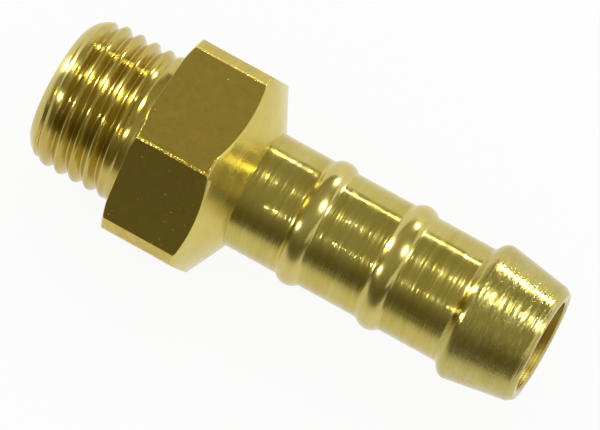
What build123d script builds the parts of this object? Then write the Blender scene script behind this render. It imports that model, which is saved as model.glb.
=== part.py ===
"""Barbed hose tail, turned in one piece from hexagon brass bar.

From left to right along the bore: a 1/4 inch parallel pipe thread, a 17 mm wrench
hexagon with its corners turned down, a steep shoulder, and a hose shank with two
rounded beads and one barb at the tip.

Frame: the bore runs along X and the tail points to +X. The origin is on the bore,
in the flat face of the hexagon that seats against the port. One flat of the
hexagon faces +Z and the opposite one faces -Z.
"""
from build123d import *
import os
from math import radians, tan

# Wrench hexagon
hex_across_flats = 17.0
hex_corner_diameter = 18.8
hex_corner_length = 6.7
seat_diameter = 17.8
seat_chamfer_angle = 25.0

# Shoulder, a cone from the hexagon corners down to the shank
shoulder_angle = 28.0

# Threaded end, G 1/4 A, left plain at its crest diameter
thread_crest_diameter = 13.0
thread_length = 8.8

# Lead of the thread: a blunt chamfer at the end face, then a slow one up to the crest
end_face_diameter = 10.3
blunt_chamfer_length = 0.6
blunt_chamfer_angle = 55.0
slow_chamfer_angle = 20.0

# Hose shank
shank_diameter = 10.1
tail_length = 35.2

# Two rounded beads
bead_stations = (14.72, 22.07)
bead_diameter = 11.0
bead_width = 1.9
bead_foot_radius = 0.4

# Barb: a steep back and a slow taper to the tip, which meet in a rounded crest
barb_crest_station = 29.07
barb_sharp_diameter = 12.04
barb_back_angle = 52.0
barb_crest_radius = 1.0
barb_foot_radius = 0.4
barb_front_diameter = 10.2
nose_length = 0.5
nose_end_diameter = 9.5

# Waterway
bore_diameter = 8.0
tail_mouth_chamfer = 0.15
thread_mouth_chamfer = 0.3

thread_radius = thread_crest_diameter / 2
corner_radius = hex_corner_diameter / 2
shank_radius = shank_diameter / 2
barb_sharp_radius = barb_sharp_diameter / 2


def corner_at(sketch, point):
    """Corner of a sketch nearest to a point of its outline."""
    return sketch.vertices().sort_by_distance(Vector(*point))[0]


def threaded_end_outline():
    """Corners from the bore axis at the port end, over the lead, to the seat."""
    end_face_radius = end_face_diameter / 2
    blunt_chamfer_top = end_face_radius + blunt_chamfer_length * tan(radians(blunt_chamfer_angle))
    slow_chamfer_length = (thread_radius - blunt_chamfer_top) / tan(radians(slow_chamfer_angle))
    straight_start = blunt_chamfer_length + slow_chamfer_length - thread_length
    return [
        (-thread_length, 0),
        (-thread_length, end_face_radius),
        (blunt_chamfer_length - thread_length, blunt_chamfer_top),
        (straight_start, thread_radius),
        (0, thread_radius),
    ]


def hexagon_outline():
    """Corners from the seat, over the turned hexagon corners, to the foot of the shoulder."""
    seat_radius = seat_diameter / 2
    seat_chamfer_length = (corner_radius - seat_radius) * tan(radians(seat_chamfer_angle))
    shoulder_length = (corner_radius - shank_radius) * tan(radians(shoulder_angle))
    return [
        (0, seat_radius),
        (seat_chamfer_length, corner_radius),
        (hex_corner_length, corner_radius),
        (hex_corner_length + shoulder_length, shank_radius),
    ]


def barb_outline():
    """Corners from the foot of the barb, over its crest and the nose, to the bore axis."""
    barb_back_length = (barb_sharp_radius - shank_radius) / tan(radians(barb_back_angle))
    return [
        (barb_crest_station - barb_back_length, shank_radius),
        (barb_crest_station, barb_sharp_radius),
        (tail_length - nose_length, barb_front_diameter / 2),
        (tail_length, nose_end_diameter / 2),
        (tail_length, 0),
    ]


def turned_half_section():
    """Half section of the turned blank above the bore axis, before it is drilled."""
    port_end = threaded_end_outline()
    hexagon = hexagon_outline()
    barb = barb_outline()
    shoulder_foot = hexagon[-1]
    barb_foot = barb[0]
    barb_crest = barb[1]

    with BuildSketch() as section:
        with BuildLine():
            Polyline(*port_end, *hexagon)
            shank_start = shoulder_foot
            for station in bead_stations:
                left_foot = (station - bead_width / 2, shank_radius)
                right_foot = (station + bead_width / 2, shank_radius)
                Line(shank_start, left_foot)
                ThreePointArc(left_foot, (station, bead_diameter / 2), right_foot)
                shank_start = right_foot
            Polyline(shank_start, *barb, port_end[0])
        make_face()

        for station in bead_stations:
            for side in (-1, 1):
                foot = (station + side * bead_width / 2, shank_radius)
                fillet(corner_at(section, foot), bead_foot_radius)
        fillet(corner_at(section, barb_foot), barb_foot_radius)
        fillet(corner_at(section, barb_crest), barb_crest_radius)
    return section.sketch


def bore_half_section():
    """Half section of the waterway with a small chamfer at each mouth."""
    bore_radius = bore_diameter / 2
    with BuildSketch() as section:
        with BuildLine():
            Polyline(
                (-thread_length, 0),
                (-thread_length, bore_radius + thread_mouth_chamfer),
                (thread_mouth_chamfer - thread_length, bore_radius),
                (tail_length - tail_mouth_chamfer, bore_radius),
                (tail_length, bore_radius + tail_mouth_chamfer),
                (tail_length, 0),
                close=True,
            )
        make_face()
    return section.sketch


def hexagon_bar():
    """Bar stock that the piece is turned from, along X, longer than the piece."""
    with BuildPart() as bar:
        with BuildSketch(Plane.YZ):
            RegularPolygon(radius=hex_across_flats / 2, side_count=6, major_radius=False)
        extrude(amount=tail_length, both=True)
    return bar.part


half_section = Plane.XZ * (turned_half_section() - bore_half_section())
turned_blank = revolve(half_section, axis=Axis.X)
hose_tail = turned_blank & hexagon_bar()
hose_tail.label = "hose_tail"

os.makedirs("parts", exist_ok=True)
export_step(hose_tail, "parts/hose_tail.step")
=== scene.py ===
from math import atan2, cos, degrees, pi, radians, sin, tan

import bmesh
import bpy
from mathutils import Matrix, Vector


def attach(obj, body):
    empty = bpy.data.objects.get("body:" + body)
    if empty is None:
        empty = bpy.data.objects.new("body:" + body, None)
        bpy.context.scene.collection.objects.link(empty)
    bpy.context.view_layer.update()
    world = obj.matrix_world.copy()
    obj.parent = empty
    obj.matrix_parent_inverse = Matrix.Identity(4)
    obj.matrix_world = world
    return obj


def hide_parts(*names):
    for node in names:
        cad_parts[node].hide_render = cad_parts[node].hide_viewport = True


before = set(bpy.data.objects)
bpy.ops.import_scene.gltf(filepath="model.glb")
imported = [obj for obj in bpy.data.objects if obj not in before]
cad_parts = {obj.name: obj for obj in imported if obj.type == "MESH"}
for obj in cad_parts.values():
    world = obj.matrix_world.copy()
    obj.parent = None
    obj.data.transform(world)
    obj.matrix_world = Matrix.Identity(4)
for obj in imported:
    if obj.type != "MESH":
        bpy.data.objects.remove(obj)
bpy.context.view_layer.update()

# Hose tail: the one piece, turned from drawn hexagon brass bar on a lathe, drilled through,
# with a cut pipe thread. Its half section is drawn in millimetres, rounded, spun round the
# bore and then cut by the six faces of the bar.
bore_radius = 4.0
port_mouth_chamfer = 0.3
tip_mouth_chamfer = 0.15
shank_radius = 5.05
crest_radius = 6.5
corner_radius = 9.3787
seat_radius = 8.9
flat_distance = 8.5
cut_start_radius = flat_distance - 0.05
hexagon_length = 6.7
seat_chamfer_angle = 64.0
shoulder_angle = -62.0
thread_start = -8.8
thread_foot_fillet = 0.05
blunt_chamfer_angle = 55.0
blunt_chamfer_rise = 0.857
slow_chamfer_angle = 20.0
bead_stations = (14.72, 22.07)
bead_height = 0.45
bead_reach = 1.15
bead_foot_radius = 0.4
barb_crest = (29.07, 6.02)
barb_back_angle = 52.0
nose_length = 0.5
nose_radius = 5.1
tail_end = 35.2
tail_end_radius = 4.75
spin_steps = 288
thread_rows = 150
weld_distance = 0.0005
tolerance = 0.001


def along(start, angle, rise):
    """The end of a run that leaves start at an angle to the bore and climbs by rise."""
    return (start[0] + rise / tan(radians(angle)), start[1] + rise)


lead_foot = (thread_start, 5.15)
blunt_end = along(lead_foot, blunt_chamfer_angle, blunt_chamfer_rise)
slow_end = along(blunt_end, slow_chamfer_angle, crest_radius - blunt_end[1])
seat_edge = (0.0, seat_radius)
corner_start = along(seat_edge, seat_chamfer_angle, corner_radius - seat_radius)
corner_end = (hexagon_length, corner_radius)
cut_start = along(corner_end, shoulder_angle, cut_start_radius - corner_radius)
shoulder_foot = along(corner_end, shoulder_angle, shank_radius - corner_radius)
barb_foot = along(barb_crest, barb_back_angle, shank_radius - barb_crest[1])
nose_start = (tail_end - nose_length, nose_radius)

just_short = 0.995
bead_slope = 2.0 * atan2(bead_height, bead_reach)
bead_foot_rounding = bead_foot_radius * tan(bead_slope / 2.0)
bead_crown_radius = bead_reach / sin(bead_slope) - bead_foot_radius
bead_crown_rounding = bead_crown_radius * tan(bead_slope) * just_short
bead_foot_reach = bead_reach - bead_foot_rounding
bead_sharp_radius = shank_radius + bead_foot_reach * tan(bead_slope)

blank = bmesh.new()
outline = []
rounds = []


def station(x, radius, rounding=0.0, steps=1):
    """A corner of the half section, with how far its rounding reaches along both runs."""
    vertex = blank.verts.new((x, 0.0, radius))
    outline.append(vertex)
    if rounding:
        rounds.append((vertex, rounding, steps))


station(thread_start + port_mouth_chamfer, bore_radius)
station(thread_start, bore_radius + port_mouth_chamfer, rounding=0.08, steps=3)
station(*lead_foot, rounding=0.12, steps=4)
station(*blunt_end, rounding=0.60, steps=12)
station(*slow_end, rounding=0.55, steps=10)
station(-thread_foot_fillet, crest_radius)
station(0.0, crest_radius + thread_foot_fillet)
station(0.0, cut_start_radius)
station(*seat_edge, rounding=0.06, steps=3)
station(*corner_start, rounding=0.10, steps=3)
station(*corner_end, rounding=0.14, steps=3)
station(*cut_start)
station(*shoulder_foot)
for centre in bead_stations:
    station(centre - bead_foot_reach, shank_radius, rounding=bead_foot_rounding, steps=5)
    station(centre, bead_sharp_radius, rounding=bead_crown_rounding, steps=16)
    station(centre + bead_foot_reach, shank_radius, rounding=bead_foot_rounding, steps=5)
station(*barb_foot, rounding=0.18, steps=5)
station(*barb_crest, rounding=0.47, steps=10)
station(*nose_start, rounding=0.06, steps=3)
station(tail_end, tail_end_radius, rounding=0.06, steps=3)
station(tail_end, bore_radius + tip_mouth_chamfer, rounding=0.04, steps=2)
station(tail_end - tip_mouth_chamfer, bore_radius)

blank.faces.new(outline)
for vertex, rounding, steps in rounds:
    bmesh.ops.bevel(blank, geom=[vertex], affect="VERTICES", offset=rounding, offset_type="OFFSET",
                    segments=steps, profile=0.5, material=-1, clamp_overlap=False)
bmesh.ops.delete(blank, geom=blank.faces[:], context="FACES_ONLY")

threaded_run = [edge for edge in blank.edges
                if all(abs(v.co.z - crest_radius) < tolerance and v.co.x < 0.0 for v in edge.verts)]
bmesh.ops.subdivide_edges(blank, edges=threaded_run, cuts=thread_rows)
bmesh.ops.spin(blank, geom=blank.verts[:] + blank.edges[:], cent=(0, 0, 0), axis=(1, 0, 0),
               angle=2.0 * pi, steps=spin_steps, use_merge=True)
bmesh.ops.remove_doubles(blank, verts=blank.verts[:], dist=weld_distance)

# Thread: a right-hand pipe thread with rounded crests and roots. Its groove runs out of the
# rounded lead at the port end and dies away just short of the hexagon.
thread_pitch = 1.337
flank_tilt = radians(48.0)
crest_rounding = 0.26
root_rounding = 0.10
groove_phase = radians(29.3)
groove_centre = -6.93
runout_start = -2.2
runout_end = -1.0
innermost_cut = 5.0
half_pitch = thread_pitch / 2.0
crest_reach = crest_rounding * sin(flank_tilt)
root_reach = root_rounding * sin(flank_tilt)
flank_top = crest_rounding * (1.0 - cos(flank_tilt))
flank_foot = flank_top + (half_pitch - crest_reach - root_reach) * tan(flank_tilt)
root_centre = flank_foot - root_rounding * cos(flank_tilt)
for vertex in blank.verts:
    x, y, z = vertex.co
    radius = (y * y + z * z) ** 0.5
    if x > runout_end or radius < innermost_cut:
        continue
    turns = (atan2(z, y) - groove_phase) / (2.0 * pi)
    phase = (x - groove_centre) / thread_pitch - turns
    from_groove = abs(phase - round(phase)) * thread_pitch
    from_crest = half_pitch - from_groove
    if from_crest < crest_reach:
        depth = crest_rounding - (crest_rounding ** 2 - from_crest ** 2) ** 0.5
    elif from_groove < root_reach:
        depth = root_centre + (root_rounding ** 2 - from_groove ** 2) ** 0.5
    else:
        depth = flank_top + (from_crest - crest_reach) * tan(flank_tilt)
    if x > runout_start:
        depth *= (runout_end - x) / (runout_end - runout_start)
    kept = min(radius, crest_radius - depth)
    vertex.co.yz = (y * kept / radius, z * kept / radius)

# Hexagon: the six faces of the bar, cut across the turned corners. The tool drags a burr over
# one side of each corner and rounds it, and leaves the other edges nearly sharp.
rounded_arris = 0.19
sharp_arris = 0.04
burr_reach = 10.0
least_corners_of_bar_face = 21
for face in range(6):
    outward = Matrix.Rotation(radians(60.0 * face), 3, "X") @ Vector((0, 0, 1))
    cut = bmesh.ops.bisect_plane(blank, geom=blank.verts[:] + blank.edges[:] + blank.faces[:],
                                 plane_co=outward * flat_distance, plane_no=outward,
                                 dist=tolerance, clear_outer=True)
    rim = [g for g in cut["geom_cut"] if isinstance(g, bmesh.types.BMEdge) and g.is_boundary]
    bmesh.ops.contextual_create(blank, geom=rim)
bmesh.ops.recalc_face_normals(blank, faces=blank.faces[:])


def past_corner(point):
    """How far a point lies round the bore from the nearest corner of the bar, in degrees."""
    return (degrees(atan2(point.z, point.y)) + 30.0) % 60.0 - 30.0


def arrises(rounded):
    """The edges of the six faces that are rounded, or those that are not."""
    found = []
    for edge in blank.edges:
        if not any(len(face.verts) >= least_corners_of_bar_face for face in edge.link_faces):
            continue
        start, end = (vertex.co for vertex in edge.verts)
        along_bar = abs((end - start).normalized().x) > 0.99
        if (along_bar and 0.0 < past_corner((start + end) / 2.0) < burr_reach) == rounded:
            found.append(edge)
    return found


for rounded, width, steps in ((True, rounded_arris, 5), (False, sharp_arris, 1)):
    bmesh.ops.bevel(blank, geom=arrises(rounded), affect="EDGES", offset=width,
                    offset_type="OFFSET", segments=steps, profile=0.5, material=-1,
                    clamp_overlap=not rounded)

# Surfaces: each tool leaves its own finish on what it cuts. The eight names are the places of
# the finishes in the mesh, which they get in this order where they are made, further down.
turned, drawn, rubbed, drilled, formed, threaded, burred, coned = range(8)
bore_margin = 0.05
lead_end = -7.6
shoulder_end = 9.1
rubbed_start = 29.2
steepest_bar_face = 0.3
least_bar_radius = 8.4
least_bar_area = 0.6
strip_beside_burr = (-6.0, -4.0)


def finish_of(face):
    """The place of the finish that a face has."""
    middle = face.calc_center_median()
    radius = middle.yz.length
    if radius < bore_radius + bore_margin:
        return drilled
    if middle.x > rubbed_start:
        return rubbed
    if (0.0 < middle.x < hexagon_length and radius > least_bar_radius
            and abs(face.normal.x) < steepest_bar_face):
        beside_burr = strip_beside_burr[0] < past_corner(middle) < strip_beside_burr[1]
        return drawn if face.calc_area() > least_bar_area or beside_burr else burred
    if lead_end < middle.x < 0.0:
        return threaded
    if 0.0 < middle.x < shoulder_end:
        return coned
    if middle.x < 0.0 or min(abs(middle.x - centre) for centre in bead_stations) < bead_reach:
        return formed
    return turned


for face in blank.faces:
    face.smooth = True
    face.material_index = finish_of(face)

# Shading: the mesh is brought to metres, and large faces rule the normals of the small ones
# between them, so that flat stays flat and each edge is seen as the narrow rounding that it is.
millimetre = 0.001
sharpest_smooth_edge = radians(35.0)
bmesh.ops.scale(blank, vec=(millimetre, millimetre, millimetre), verts=blank.verts[:])
rough_mesh = bpy.data.meshes.new("hose_tail_before_shading")
blank.to_mesh(rough_mesh)
blank.free()
rough_mesh.set_sharp_from_angle(angle=sharpest_smooth_edge)
hose_tail = bpy.data.objects.new("dressed_hose_tail", rough_mesh)
bpy.context.scene.collection.objects.link(hose_tail)
even_faces = hose_tail.modifiers.new("even_faces", "WEIGHTED_NORMAL")
even_faces.mode = "FACE_AREA"
even_faces.weight = 100
even_faces.keep_sharp = True
shaded = hose_tail.evaluated_get(bpy.context.evaluated_depsgraph_get())
hose_tail_mesh = bpy.data.meshes.new_from_object(shaded)
hose_tail_mesh.name = "dressed_hose_tail"
hose_tail.modifiers.clear()
hose_tail.data = hose_tail_mesh
bpy.data.meshes.remove(rough_mesh)
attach(hose_tail, "root")
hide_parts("hose_tail")

# Finish: bare free-cutting brass. The lathe leaves fine rings round the bore, which draw each
# lamp out into a dotted line; the bar's own faces keep the grain and specks of drawing.
def mark(stretch, scale, height, detail=2.0, raised=None):
    """A bump pattern: how it is stretched along x, y and z, how often it repeats to the metre,
    its height in metres, and the part of its range that stands out where that isn't all."""
    return stretch, scale, height, detail, raised


def brass_finish(name, colours, roughness, anisotropy, clouds, rubbing, marks):
    """A brass whose colours and roughness drift in patterns, with marks laid one over another."""
    finish = bpy.data.materials.new(name)
    finish.use_nodes = True
    nodes = finish.node_tree.nodes
    links = finish.node_tree.links
    shader = nodes["Principled BSDF"]
    shader.inputs["Metallic"].default_value = 1.0
    shader.inputs["Anisotropic"].default_value = anisotropy
    shader.inputs["Anisotropic Rotation"].default_value = 0.25
    place = nodes.new("ShaderNodeTexCoord")
    tangent = nodes.new("ShaderNodeTangent")
    tangent.direction_type = "RADIAL"
    tangent.axis = "X"
    links.new(tangent.outputs["Tangent"], shader.inputs["Tangent"])

    def noise(stretch, scale, detail=3.0, rough=0.55):
        """A pattern fixed to the piece, stretched along x, y and z."""
        spread = nodes.new("ShaderNodeMapping")
        spread.inputs["Scale"].default_value = stretch
        links.new(place.outputs["Object"], spread.inputs["Vector"])
        grain = nodes.new("ShaderNodeTexNoise")
        grain.inputs["Scale"].default_value = scale
        grain.inputs["Detail"].default_value = detail
        grain.inputs["Roughness"].default_value = rough
        links.new(spread.outputs["Vector"], grain.inputs["Vector"])
        return grain.outputs["Fac"]

    def ranged(value, low, high, to_low, to_high):
        """A pattern with low and high brought to the two values given last."""
        fit = nodes.new("ShaderNodeMapRange")
        fit.inputs["From Min"].default_value = low
        fit.inputs["From Max"].default_value = high
        fit.inputs["To Min"].default_value = to_low
        fit.inputs["To Max"].default_value = to_high
        links.new(value, fit.inputs["Value"])
        return fit.outputs["Result"]

    mixed = nodes.new("ShaderNodeMix")
    mixed.data_type = "RGBA"
    mixed.inputs["A"].default_value = (*colours[0], 1.0)
    mixed.inputs["B"].default_value = (*colours[1], 1.0)
    links.new(ranged(noise(*clouds, detail=6.0, rough=0.78), 0.35, 0.65, 0.0, 1.0),
              mixed.inputs["Factor"])
    links.new(mixed.outputs["Result"], shader.inputs["Base Color"])
    links.new(ranged(noise(*rubbing), 0.36, 0.64, *roughness), shader.inputs["Roughness"])

    surface = None
    for stretch, scale, height, detail, raised in marks:
        pattern = noise(stretch, scale, detail)
        if raised:
            pattern = ranged(pattern, *raised, 0.0, 1.0)
        bump = nodes.new("ShaderNodeBump")
        bump.inputs["Distance"].default_value = height
        links.new(pattern, bump.inputs["Height"])
        if surface:
            links.new(surface, bump.inputs["Normal"])
        surface = bump.outputs["Normal"]
    links.new(surface, shader.inputs["Normal"])
    hose_tail_mesh.materials.append(finish)


# In the order of their places. The shank, with coarse rings, fine rings and wear from handling.
brass_finish(
    "turned_brass", colours=((0.57, 0.485, 0.145), (0.49, 0.395, 0.085)), roughness=(0.09, 0.27),
    anisotropy=0.80, clouds=((1, 0.08, 0.08), 900.0), rubbing=((1, 0.02, 0.02), 7500.0),
    marks=(mark((1, 0.01, 0.01), 4500.0, 0.000014),
           mark((1, 0.02, 0.02), 10000.0, 0.000042),
           mark((1, 1, 1), 1500.0, 0.000005, detail=3.0)))
# The six faces, with streaks along the bar and a few specks.
brass_finish(
    "drawn_brass", colours=((0.63, 0.48, 0.12), (0.49, 0.37, 0.08)), roughness=(0.10, 0.22),
    anisotropy=0.0, clouds=((1, 1, 1), 900.0), rubbing=((1, 1, 1), 900.0),
    marks=(mark((0.05, 1, 1), 5000.0, 0.0000015, detail=3.0),
           mark((1, 1, 1), 3600.0, 0.000014, raised=(0.69, 0.79))))
# The barb, with its rings worn down and small dents.
brass_finish(
    "rubbed_brass", colours=((0.56, 0.48, 0.17), (0.45, 0.37, 0.09)), roughness=(0.14, 0.32),
    anisotropy=0.7, clouds=((1, 0.3, 0.3), 700.0), rubbing=((1, 0.2, 0.2), 5000.0),
    marks=(mark((1, 0.05, 0.05), 6000.0, 0.000040),
           mark((1, 1, 1), 3600.0, 0.000009, raised=(0.58, 0.74))))
# The bore, with the rings of the drill.
brass_finish(
    "drilled_brass", colours=((0.60, 0.46, 0.13), (0.50, 0.35, 0.07)), roughness=(0.34, 0.44),
    anisotropy=0.5, clouds=((1, 0.3, 0.3), 500.0), rubbing=((1, 0.1, 0.1), 1500.0),
    marks=(mark((1, 0.02, 0.02), 4000.0, 0.000030),))
# The beads and the lead of the thread, made smooth by a form tool.
brass_finish(
    "formed_brass", colours=((0.63, 0.53, 0.18), (0.55, 0.45, 0.12)), roughness=(0.17, 0.26),
    anisotropy=0.62, clouds=((1, 0.3, 0.3), 500.0), rubbing=((1, 0.1, 0.1), 1500.0),
    marks=(mark((1, 0.03, 0.03), 5000.0, 0.000006),))
# The thread, with the marks of the die.
brass_finish(
    "threaded_brass", colours=((0.58, 0.46, 0.13), (0.48, 0.36, 0.07)), roughness=(0.16, 0.26),
    anisotropy=0.8, clouds=((1, 0.2, 0.2), 900.0), rubbing=((1, 0.1, 0.1), 4000.0),
    marks=(mark((1, 0.03, 0.03), 6000.0, 0.000012),))
# The burr along one side of each corner.
brass_finish(
    "burred_brass", colours=((0.88, 0.68, 0.14), (0.68, 0.48, 0.07)), roughness=(0.12, 0.40),
    anisotropy=0.0, clouds=((1, 1, 1), 2500.0), rubbing=((1, 1, 1), 6000.0),
    marks=(mark((1, 0.5, 0.5), 5000.0, 0.000150, detail=1.5),))
# The shoulder, faced by a broad tool, which gives its rings and roughness. Its colours are painted
# paler than the rest of the brass, as painted light that brightens the cone.
brass_finish(
    "coned_brass_painted_paler", colours=((0.67, 0.565, 0.16), (0.60, 0.475, 0.095)), roughness=(0.22, 0.28),
    anisotropy=0.5, clouds=((1, 0.3, 0.3), 500.0), rubbing=((1, 0.1, 0.1), 1500.0),
    marks=(mark((1, 0.03, 0.03), 5000.0, 0.000006),))

# Table: a plain pale top on which the hexagon stands. It glows white to the camera and keeps the
# shadow of the piece. In the metal it fades to dark with distance in front of the piece.
table_height = -0.0085
table_radius = 1.5
seen_white = 0.92
mirrored_white = 0.85
fade_from = -0.014
fade_to = -0.060
fade_pull = 1.5
full_pull_at = 0.033
far_tone = (0.12, 0.11, 0.07, 1.0)
white = (1.0, 1.0, 1.0, 1.0)
pale = bpy.data.materials.new("pale_table")
pale.use_nodes = True
nodes = pale.node_tree.nodes
links = pale.node_tree.links
paint = nodes["Principled BSDF"]
paint.inputs["Base Color"].default_value = (0.76, 0.76, 0.76, 1.0)
paint.inputs["Roughness"].default_value = 0.9
paint.inputs["Specular IOR Level"].default_value = 0.0
path = nodes.new("ShaderNodeLightPath")


def share_of_glow():
    """How much of the table is plain glow: one share to the camera, another to a mirrored ray."""
    total = None
    for ray, share in (("Is Camera Ray", seen_white), ("Is Glossy Ray", mirrored_white),
                       ("Is Transmission Ray", mirrored_white)):
        part = nodes.new("ShaderNodeMath")
        part.operation = "MULTIPLY_ADD"
        part.inputs[1].default_value = share
        part.inputs[2].default_value = 0.0
        links.new(path.outputs[ray], part.inputs[0])
        if total:
            links.new(total, part.inputs[2])
        total = part.outputs["Value"]
    return total


# The fade is drawn in towards the tail, because the barb's taper mirrors the table further out.
place = nodes.new("ShaderNodeTexCoord")
split = nodes.new("ShaderNodeSeparateXYZ")
links.new(place.outputs["Object"], split.inputs["Vector"])
pull = nodes.new("ShaderNodeMapRange")
pull.inputs["From Min"].default_value = 0.0
pull.inputs["From Max"].default_value = full_pull_at
pull.inputs["To Min"].default_value = 1.0
pull.inputs["To Max"].default_value = fade_pull
links.new(split.outputs["X"], pull.inputs["Value"])
reach = nodes.new("ShaderNodeMath")
reach.operation = "MULTIPLY"
links.new(split.outputs["Y"], reach.inputs[0])
links.new(pull.outputs["Result"], reach.inputs[1])
fade = nodes.new("ShaderNodeMapRange")
fade.interpolation_type = "SMOOTHSTEP"
fade.inputs["From Min"].default_value = fade_to
fade.inputs["From Max"].default_value = fade_from
links.new(reach.outputs["Value"], fade.inputs["Value"])
lit = nodes.new("ShaderNodeMath")
lit.operation = "MAXIMUM"
links.new(fade.outputs["Result"], lit.inputs[0])
links.new(path.outputs["Is Camera Ray"], lit.inputs[1])
tone = nodes.new("ShaderNodeMix")
tone.data_type = "RGBA"
tone.inputs["A"].default_value = far_tone
tone.inputs["B"].default_value = white
links.new(lit.outputs["Value"], tone.inputs["Factor"])
glow = nodes.new("ShaderNodeEmission")
links.new(tone.outputs["Result"], glow.inputs["Color"])
blend = nodes.new("ShaderNodeMixShader")
links.new(share_of_glow(), blend.inputs["Fac"])
links.new(paint.outputs["BSDF"], blend.inputs[1])
links.new(glow.outputs["Emission"], blend.inputs[2])
links.new(blend.outputs["Shader"], nodes["Material Output"].inputs["Surface"])

top = bmesh.new()
bmesh.ops.create_circle(top, cap_ends=True, segments=64, radius=table_radius)
bmesh.ops.translate(top, vec=(0.0, 0.0, table_height), verts=top.verts[:])
table = bpy.data.meshes.new("table")
top.to_mesh(table)
top.free()
table.materials.append(pale)
floor = bpy.data.objects.new("floor", table)
bpy.context.scene.collection.objects.link(floor)

# Flag: a dark dome over the near side and overhead, with low windows on the far side and past
# the tail, and a low dark board on the table in front. Both are seen only in the metal, as its
# dark parts.
dome_radius = 0.9
dome_dark_below = 0.1 * dome_radius
dome_pale_above = 0.85 * dome_radius
window_top = dome_radius * sin(radians(24.0))
far_window = 0.1 * dome_radius
end_window = 0.7 * dome_radius
board_length = 1.0
board_height = 0.03
board_distance = 0.095
dark_card = bpy.data.materials.new("dark_card")
dark_card.use_nodes = True
nodes = dark_card.node_tree.nodes
links = dark_card.node_tree.links
nodes.remove(nodes["Principled BSDF"])
where = nodes.new("ShaderNodeTexCoord")
split = nodes.new("ShaderNodeSeparateXYZ")
links.new(where.outputs["Object"], split.inputs["Vector"])
height = nodes.new("ShaderNodeMapRange")
height.interpolation_type = "SMOOTHSTEP"
height.inputs["From Min"].default_value = dome_dark_below
height.inputs["From Max"].default_value = dome_pale_above
links.new(split.outputs["Z"], height.inputs["Value"])
tone = nodes.new("ShaderNodeMix")
tone.data_type = "RGBA"
tone.inputs["A"].default_value = (0.158, 0.146, 0.094, 1.0)
tone.inputs["B"].default_value = (0.40, 0.375, 0.25, 1.0)
links.new(height.outputs["Result"], tone.inputs["Factor"])
shade = nodes.new("ShaderNodeEmission")
links.new(tone.outputs["Result"], shade.inputs["Color"])
links.new(shade.outputs["Emission"], nodes["Material Output"].inputs["Surface"])

dome = bmesh.new()
bmesh.ops.create_uvsphere(dome, u_segments=64, v_segments=32, radius=dome_radius)
bmesh.ops.bisect_plane(dome, geom=dome.verts[:] + dome.edges[:] + dome.faces[:],
                       plane_co=(0, 0, 0), plane_no=(0, 0, -1), clear_outer=True)
bmesh.ops.bisect_plane(dome, geom=dome.verts[:] + dome.edges[:] + dome.faces[:],
                       plane_co=(0, 0, window_top), plane_no=(0, 0, 1))
windows = []
for face in dome.faces:
    middle = face.calc_center_median()
    if middle.z < window_top and (middle.y > far_window or middle.x > end_window):
        windows.append(face)
bmesh.ops.delete(dome, geom=windows, context="FACES")
board = bmesh.ops.create_grid(dome, x_segments=1, y_segments=1, size=board_length / 2.0)["verts"]
bmesh.ops.scale(dome, vec=(1.0, board_height / board_length, 1.0), verts=board)
bmesh.ops.rotate(dome, cent=(0, 0, 0), matrix=Matrix.Rotation(radians(90.0), 3, "X"), verts=board)
bmesh.ops.translate(dome, vec=(0.0, -board_distance, table_height + board_height / 2.0),
                    verts=board)
dome_mesh = bpy.data.meshes.new("flag")
dome.to_mesh(dome_mesh)
dome.free()
dome_mesh.materials.append(dark_card)
flag = bpy.data.objects.new("flag", dome_mesh)
bpy.context.scene.collection.objects.link(flag)
flag.visible_camera = False
flag.visible_diffuse = False
flag.visible_shadow = False
flag.visible_transmission = False

# Lamps: four small ones round the table, seen only in the metal, where they are its hot spots.
# One is behind, one to the right overhead, one in front on the left and one low on the left.
middle_of_piece = Vector((0.013, 0.0, 0.0))
lamp_distance = 0.7
lamp_colour = (0.95, 1.0, 0.94)


def lamp(name, way, width, power):
    """A small round lamp along way from the middle of the piece, turned to face it."""
    light = bpy.data.lights.new(name, "AREA")
    light.shape = "DISK"
    light.size = width
    light.color = lamp_colour
    light.energy = power
    stand = bpy.data.objects.new(name, light)
    stand.location = middle_of_piece + Vector(way).normalized() * lamp_distance
    stand.rotation_mode = "QUATERNION"
    stand.rotation_quaternion = Vector(way).to_track_quat("Z", "Y")
    stand.visible_diffuse = False
    bpy.context.scene.collection.objects.link(stand)


lamp("lamp_behind", (0.275, 0.795, 0.540), width=0.034, power=1.8)
lamp("lamp_right", (0.636, 0.075, 0.768), width=0.045, power=5.0)
lamp("lamp_in_front", (-0.727, -0.538, 0.427), width=0.042, power=1.6)
lamp("lamp_left", (-0.935, 0.174, 0.309), width=0.06, power=5.5)

# Camera: above the near side, a little towards the tail, and tilted to the left.
to_camera = Vector((0.14763679, -0.48371852, 0.86268173))
right = Vector((0.86647785, 0.48382514, 0.12300153))
up = to_camera.cross(right)
target = Vector((0.01311653, 0.00013297, -0.00037753))
camera_distance = 0.48334661
lens_data = bpy.data.cameras.new("camera")
lens_data.sensor_width = 36.0
lens_data.lens = 363.96
lens_data.clip_start = 0.01
lens_data.clip_end = 10.0
camera = bpy.data.objects.new("camera", lens_data)
turn = Matrix((right, up, to_camera)).transposed().to_4x4()
camera.matrix_world = Matrix.Translation(target + to_camera * camera_distance) @ turn
bpy.context.scene.collection.objects.link(camera)
bpy.context.scene.camera = camera

# Room: an even pale light from all round.
world = bpy.data.worlds.new("studio")
bpy.context.scene.world = world
world.use_nodes = True
even_light = world.node_tree.nodes["Background"]
even_light.inputs["Color"].default_value = white
even_light.inputs["Strength"].default_value = 1.0

bpy.context.scene.view_settings.view_transform = "Standard"
